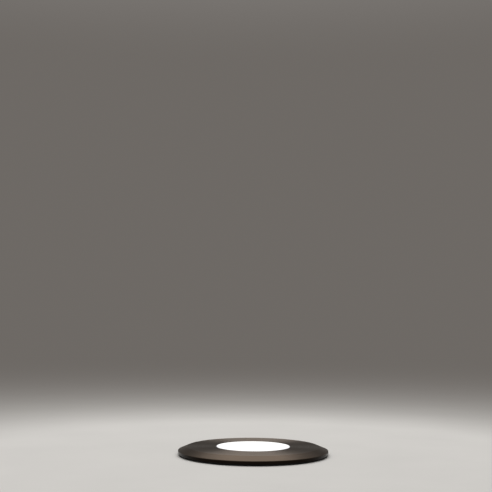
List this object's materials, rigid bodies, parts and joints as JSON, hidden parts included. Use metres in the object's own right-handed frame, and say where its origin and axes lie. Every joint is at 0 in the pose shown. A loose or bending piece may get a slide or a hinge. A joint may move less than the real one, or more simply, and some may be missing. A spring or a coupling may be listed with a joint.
{
  "type": "led step light",
  "caption": "Recessed round LED step light: bevelled steel trim ring, flush frosted lens, finned housing and sprung fold-down clips.",
  "frame": {"origin": "centre of the mounting plane: the underside of the flange gasket, on the surface of the step", "axes": "+Z out of the step, the way the light goes; +X towards the right-hand clip; +Y away from the viewer"},
  "size_m": [0.0972, 0.08, 0.0717],
  "materials": {
    "turned_steel": "circular brushed, satin",
    "black_seal": "matt moulded",
    "frosted_glass": "frosted white, flush ground",
    "clear_seal": "moulded silicone",
    "o_ring": "smooth",
    "cast_housing": "die cast, bead blasted",
    "cast_cover": "die cast, bead blasted",
    "bright_reflector": "spun and polished",
    "holder_plastic": "moulded",
    "screw_steel": "bright, turned",
    "led_ceramic": "smooth",
    "led_phosphor": "satin silicone",
    "thermal_pad": "soft",
    "red_sleeve": "smooth sleeve",
    "black_sleeve": "smooth sleeve",
    "circuit_board": "solder mask",
    "turned_brass": "turned",
    "ferrite": "matt",
    "capacitor_can": "shrink sleeve",
    "chip_plastic": "moulded",
    "terminal_plastic": "moulded",
    "gland_nylon": "moulded nylon",
    "gland_seal": "soft",
    "spring_wire": "drawn, bright",
    "clip_steel": "rolled sheet, stamped",
    "foot_rubber": "ridged"
  },
  "bodies": {
    "luminaire": {"clip_bracket_left": "clip_steel", "clip_bracket_right": "clip_steel", "clip_pin_left": "screw_steel", "clip_pin_right": "screw_steel", "clip_screws_left": "screw_steel", "clip_screws_right": "screw_steel", "clip_spring_left": "spring_wire", "clip_spring_right": "spring_wire", "cob_holder": "holder_plastic", "cob_holder_screws": "screw_steel", "driver_board": "circuit_board", "driver_board_screws": "screw_steel", "driver_capacitor": "capacitor_can", "driver_chip": "chip_plastic", "driver_inductor": "ferrite", "driver_standoffs": "turned_brass", "flange_gasket": "black_seal", "gland_body": "gland_nylon", "gland_dome_nut": "gland_nylon", "gland_lock_nut": "gland_nylon", "gland_seal": "gland_seal", "gland_washer": "o_ring", "housing": "cast_housing", "lead_black": "black_sleeve", "lead_grommet": "o_ring", "lead_red": "red_sleeve", "led_phosphor": "led_phosphor", "led_substrate": "led_ceramic", "lens_gasket": "clear_seal", "lens_glass": "frosted_glass", "rear_cover": "cast_cover", "rear_cover_o_ring": "o_ring", "rear_cover_screws": "screw_steel", "rectifier_diodes": "chip_plastic", "reflector": "bright_reflector", "seat_gasket": "clear_seal", "terminal_block": "terminal_plastic", "terminal_screws": "screw_steel", "thermal_pad": "thermal_pad", "trim_o_ring": "o_ring", "trim_ring": "turned_steel"},
    "clip_left": {"clip_arm_left": "clip_steel", "clip_foot_left": "foot_rubber"},
    "clip_right": {"clip_arm_right": "clip_steel", "clip_foot_right": "foot_rubber"}
  },
  "joints": [
    {"name": "clip_right_hinge", "type": "hinge", "parent": "luminaire", "child": "clip_right", "pos_m": [0.0262, 0, -0.0136], "axis": [0, 1, 0], "range_deg": [0, 110], "stiffness_Nm_per_rad": 0.04, "springref_deg": -85.94, "deforming": ["clip_spring_right"]},
    {"name": "clip_left_hinge", "type": "hinge", "parent": "luminaire", "child": "clip_left", "pos_m": [-0.0262, 0, -0.0136], "axis": [0, -1, 0], "range_deg": [0, 110], "stiffness_Nm_per_rad": 0.04, "springref_deg": -85.94, "deforming": ["clip_spring_left"]}
  ]
}
